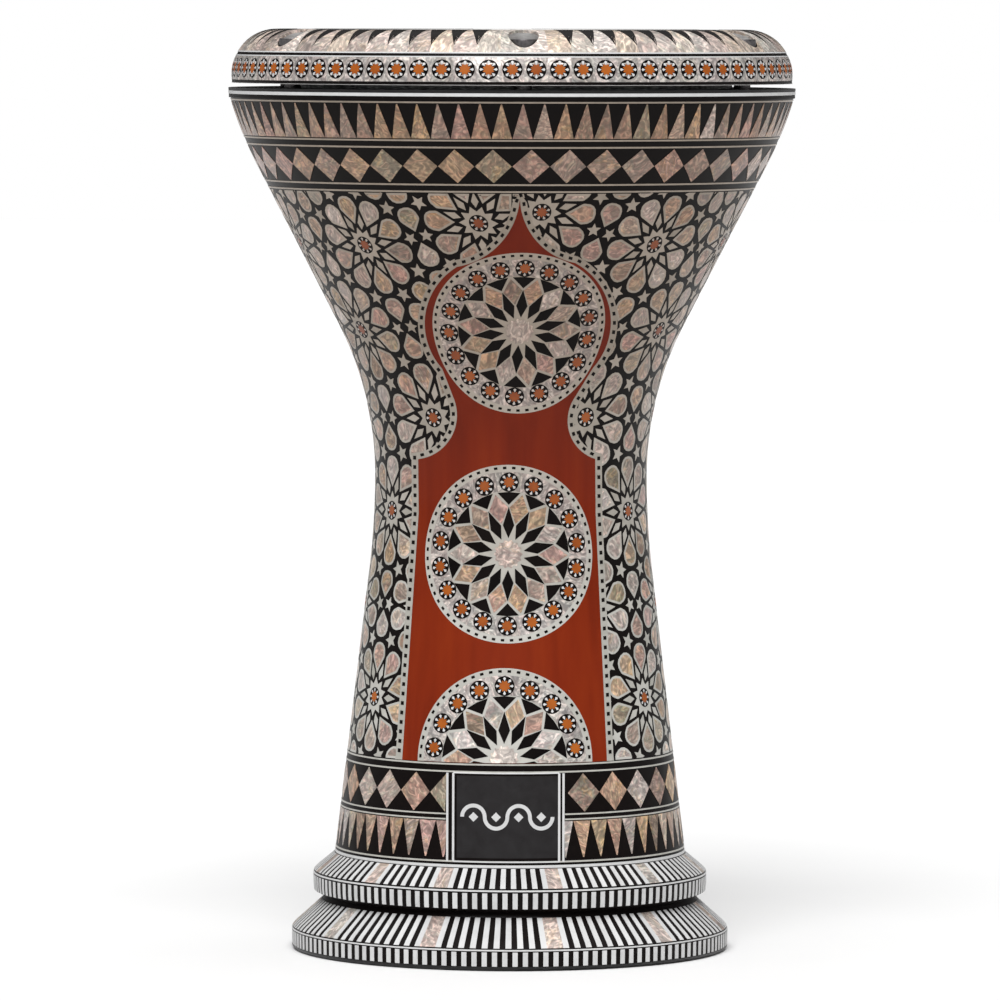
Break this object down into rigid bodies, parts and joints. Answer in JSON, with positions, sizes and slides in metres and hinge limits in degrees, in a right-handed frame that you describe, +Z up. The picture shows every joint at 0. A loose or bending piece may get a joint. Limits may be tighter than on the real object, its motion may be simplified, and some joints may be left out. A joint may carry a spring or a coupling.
{
  "type": "darbuka",
  "caption": "Goblet hand drum with a cast shell, a rounded screw-tuned tension ring over a film head, and an inlaid mosaic skin of stars, medallions and bands.",
  "frame": {"origin": "on the drum's axis in the plane of the foot it stands on", "axes": "+Z up the drum's axis towards the head, -Y towards the front with the arch panel and the name panel, +X to the right as seen from the front"},
  "size_m": [0.275, 0.275, 0.4468],
  "materials": {
    "dotted_border": "cream resin edging with black dots",
    "red_panel": "brick red lacquer panel, glossy",
    "stringing": "black and white resin lines under clear lacquer",
    "steel": "plain steel washers",
    "film": "smooth translucent polyester film",
    "hoop_metal": "bright extruded aluminium",
    "pearl_inlay": "mother of pearl tiles in black and white resin under clear lacquer",
    "black_panel": "dark grey lacquered plate",
    "ornament": "white resin inlay",
    "cast_shell": "cast and machined aluminium, bare inside, black lacquer at the edges",
    "cast_ring": "turned aluminium",
    "screw_steel": "blackened socket head screws"
  },
  "bodies": {
    "goblet": {"arch_border": "dotted_border", "arch_panel": "red_panel", "bead_valley_stringing": "stringing", "field_base_stringing": "stringing", "field_top_stringing": "stringing", "foot_stringing": "stringing", "head_film": "film", "lower_bead_edge_stringing": "stringing", "lower_bead_face_inlay": "pearl_inlay", "lower_bead_slope_inlay": "pearl_inlay", "lower_diamond_band": "pearl_inlay", "lower_stringing": "stringing", "lower_triangle_band": "pearl_inlay", "medallion_lower": "pearl_inlay", "medallion_middle": "pearl_inlay", "medallion_upper": "pearl_inlay", "name_panel": "black_panel", "name_panel_frame": "stringing", "name_panel_ornament": "ornament", "rim_stringing": "stringing", "shell": "cast_shell", "star_field": "pearl_inlay", "upper_bead_edge_stringing": "stringing", "upper_bead_face_inlay": "pearl_inlay", "upper_bead_slope_inlay": "pearl_inlay", "upper_diamond_band": "pearl_inlay", "upper_stringing": "stringing", "upper_triangle_band": "pearl_inlay"},
    "ring": {"tension_ring": "cast_ring", "head_hoop": "hoop_metal", "bolt_washers": "steel", "ring_shoulder_inlay": "pearl_inlay", "ring_upper_stringing": "stringing", "ring_rosette_band": "pearl_inlay", "ring_lower_stringing": "stringing"},
    "tuning_bolt_1": {"tuning_bolt_1": "screw_steel"},
    "tuning_bolt_2": {"tuning_bolt_2": "screw_steel"},
    "tuning_bolt_3": {"tuning_bolt_3": "screw_steel"},
    "tuning_bolt_4": {"tuning_bolt_4": "screw_steel"},
    "tuning_bolt_5": {"tuning_bolt_5": "screw_steel"},
    "tuning_bolt_6": {"tuning_bolt_6": "screw_steel"}
  },
  "joints": [
    {"name": "ring_tension", "type": "slide", "parent": "goblet", "child": "ring", "axis": [0, 0, 1], "range_m": [-0.0018, 0.003]},
    {"name": "bolt_1_turn", "type": "hinge", "parent": "ring", "child": "tuning_bolt_1", "pos_m": [0.00519, -0.12389, 0.4345], "axis": [0, 0, 1], "range_deg": [-520, 866]},
    {"name": "bolt_2_turn", "type": "hinge", "parent": "ring", "child": "tuning_bolt_2", "pos_m": [0.10989, -0.05745, 0.4345], "axis": [0, 0, 1], "range_deg": [-520, 866]},
    {"name": "bolt_3_turn", "type": "hinge", "parent": "ring", "child": "tuning_bolt_3", "pos_m": [0.1047, 0.06644, 0.4345], "axis": [0, 0, 1], "range_deg": [-520, 866]},
    {"name": "bolt_4_turn", "type": "hinge", "parent": "ring", "child": "tuning_bolt_4", "pos_m": [-0.00519, 0.12389, 0.4345], "axis": [0, 0, 1], "range_deg": [-520, 866]},
    {"name": "bolt_5_turn", "type": "hinge", "parent": "ring", "child": "tuning_bolt_5", "pos_m": [-0.10989, 0.05745, 0.4345], "axis": [0, 0, 1], "range_deg": [-520, 866]},
    {"name": "bolt_6_turn", "type": "hinge", "parent": "ring", "child": "tuning_bolt_6", "pos_m": [-0.1047, -0.06644, 0.4345], "axis": [0, 0, 1], "range_deg": [-520, 866]}
  ],
  "couplings": [
    {"joint": "bolt_1_turn", "follows": "ring_tension", "rad_per_m": 5026.5},
    {"joint": "bolt_2_turn", "follows": "ring_tension", "rad_per_m": 5026.5},
    {"joint": "bolt_3_turn", "follows": "ring_tension", "rad_per_m": 5026.5},
    {"joint": "bolt_4_turn", "follows": "ring_tension", "rad_per_m": 5026.5},
    {"joint": "bolt_5_turn", "follows": "ring_tension", "rad_per_m": 5026.5},
    {"joint": "bolt_6_turn", "follows": "ring_tension", "rad_per_m": 5026.5}
  ]
}
